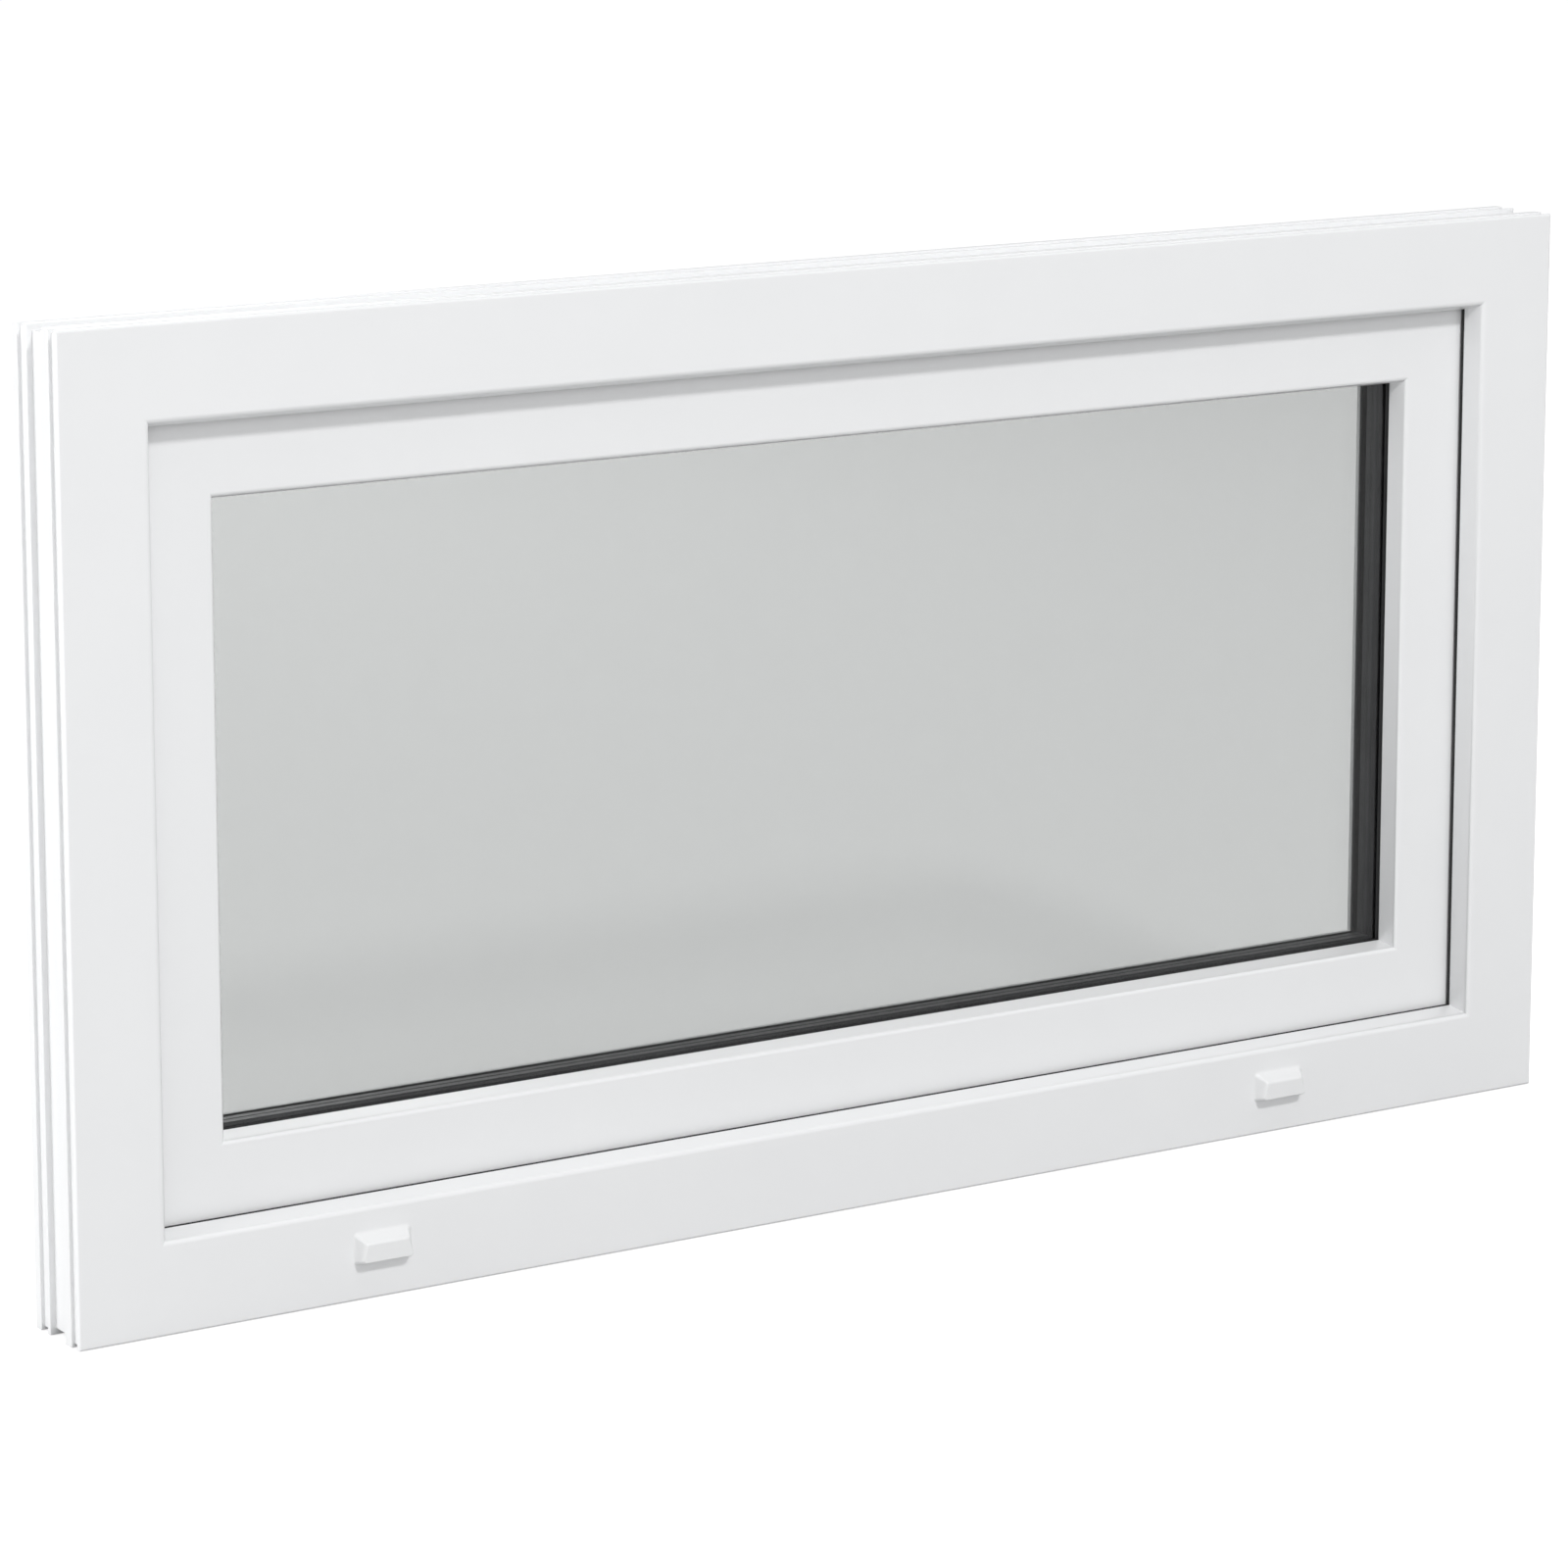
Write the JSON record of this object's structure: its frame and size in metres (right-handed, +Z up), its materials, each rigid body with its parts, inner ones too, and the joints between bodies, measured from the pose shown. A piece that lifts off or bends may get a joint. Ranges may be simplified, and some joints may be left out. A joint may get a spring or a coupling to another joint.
{
  "type": "casement window",
  "caption": "White plastic inward-opening casement window with double glazing, turn-and-tilt hinges and a lever handle.",
  "frame": {"origin": "middle of the sill's underside, in the plane of the frame's outside face", "axes": "+X to the right seen from outside, +Y towards the room, +Z up"},
  "size_m": [1.1, 0.139, 0.6],
  "materials": {
    "black_seal": "matt black",
    "black_sealant": "cured sealant",
    "block_plastic": "grey moulded plastic",
    "clear_glass": "clear float glass",
    "drain_cap_white": "moulded white",
    "galvanised_steel": "galvanised",
    "grey_spacer": "dark grey warm-edge spacer",
    "rosette_plastic": "moulded",
    "screw_steel": "zinc plated",
    "white_bead": "smooth satin-gloss white plastic, glazing beads",
    "white_cover": "moulded white",
    "white_frame": "smooth satin-gloss white plastic, outer frame",
    "white_handle": "white powder coat",
    "white_sash": "smooth satin-gloss white plastic, sash",
    "zinc_hardware": "silver zinc finish"
  },
  "bodies": {
    "frame": {"drain_cap_hinge_side": "drain_cap_white", "drain_cap_lock_side": "drain_cap_white", "frame_gasket": "black_seal", "frame_head": "white_frame", "frame_hinge_jamb": "white_frame", "frame_lock_jamb": "white_frame", "frame_rail_steels": "galvanised_steel", "frame_sill": "white_frame", "frame_upright_steels": "galvanised_steel", "corner_hinge_bracket": "zinc_hardware", "corner_hinge_pin": "zinc_hardware", "stay_bracket": "zinc_hardware", "stay_bracket_pin": "zinc_hardware", "hinge_screws": "screw_steel", "lock_keeps": "zinc_hardware", "keep_screws": "screw_steel", "run_up_block": "block_plastic", "lower_hinge_cover": "white_cover", "upper_hinge_cover": "white_cover"},
    "hinge_knuckle": {"hinge_knuckle": "zinc_hardware"},
    "stay_arm": {"stay_arm": "zinc_hardware"},
    "sash": {"corner_faceplate": "zinc_hardware", "edge_sealant": "black_sealant", "faceplate_screws": "screw_steel", "gearbox_case": "zinc_hardware", "glass_pane_inner": "clear_glass", "glass_pane_outer": "clear_glass", "glazing_bead_bottom": "white_bead", "glazing_bead_hinge_side": "white_bead", "glazing_bead_lock_side": "white_bead", "glazing_bead_top": "white_bead", "glazing_gasket_inner": "black_seal", "glazing_gasket_outer": "black_seal", "handle_rosette": "rosette_plastic", "handle_screws": "screw_steel", "rosette_cover": "white_handle", "sash_band_screws": "screw_steel", "sash_bottom_rail": "white_sash", "sash_gasket": "black_seal", "sash_hinge_band": "zinc_hardware", "sash_hinge_stile": "white_sash", "sash_lock_stile": "white_sash", "sash_rail_steels": "galvanised_steel", "sash_top_rail": "white_sash", "sash_upright_steels": "galvanised_steel", "setting_blocks": "block_plastic", "spacer_bar": "grey_spacer", "stay_sash_pin": "zinc_hardware", "stile_faceplate": "zinc_hardware", "top_faceplate": "zinc_hardware"},
    "handle": {"handle_grip": "white_handle", "handle_spindle": "zinc_hardware", "drive_pinion": "zinc_hardware"},
    "stile_rod": {"stile_drive_rod": "zinc_hardware", "stile_cams": "zinc_hardware"},
    "top_rod": {"top_drive_rod": "zinc_hardware", "top_cam": "zinc_hardware"}
  },
  "joints": [
    {"name": "sash_turn", "type": "hinge", "parent": "frame", "child": "hinge_knuckle", "pos_m": [0.524, 0.07, 0.026], "axis": [0, 0, -1], "range_deg": [0, 90]},
    {"name": "sash_tilt", "type": "hinge", "parent": "hinge_knuckle", "child": "sash", "pos_m": [0.524, 0.07, 0.026], "axis": [-1, 0, 0], "range_deg": [0, 9]},
    {"name": "stay_swing", "type": "hinge", "parent": "hinge_knuckle", "child": "stay_arm", "pos_m": [0.524, 0.07, 0.538], "axis": [0, 0, -1], "range_deg": [0, 9]},
    {"name": "handle_turn", "type": "hinge", "parent": "sash", "child": "handle", "pos_m": [-0.481, 0.0865, 0.3], "axis": [0, 1, 0], "range_deg": [0, 180]},
    {"name": "stile_rod_slide", "type": "slide", "parent": "sash", "child": "stile_rod", "axis": [0, 0, 1], "range_m": [0, 0.0334]},
    {"name": "top_rod_slide", "type": "slide", "parent": "sash", "child": "top_rod", "axis": [1, 0, 0], "range_m": [0, 0.0334]}
  ],
  "couplings": [
    {"joint": "stay_swing", "follows": "sash_tilt", "ratio": 1},
    {"joint": "stile_rod_slide", "follows": "handle_turn", "m_per_rad": 0.0106},
    {"joint": "top_rod_slide", "follows": "handle_turn", "m_per_rad": 0.0106}
  ]
}
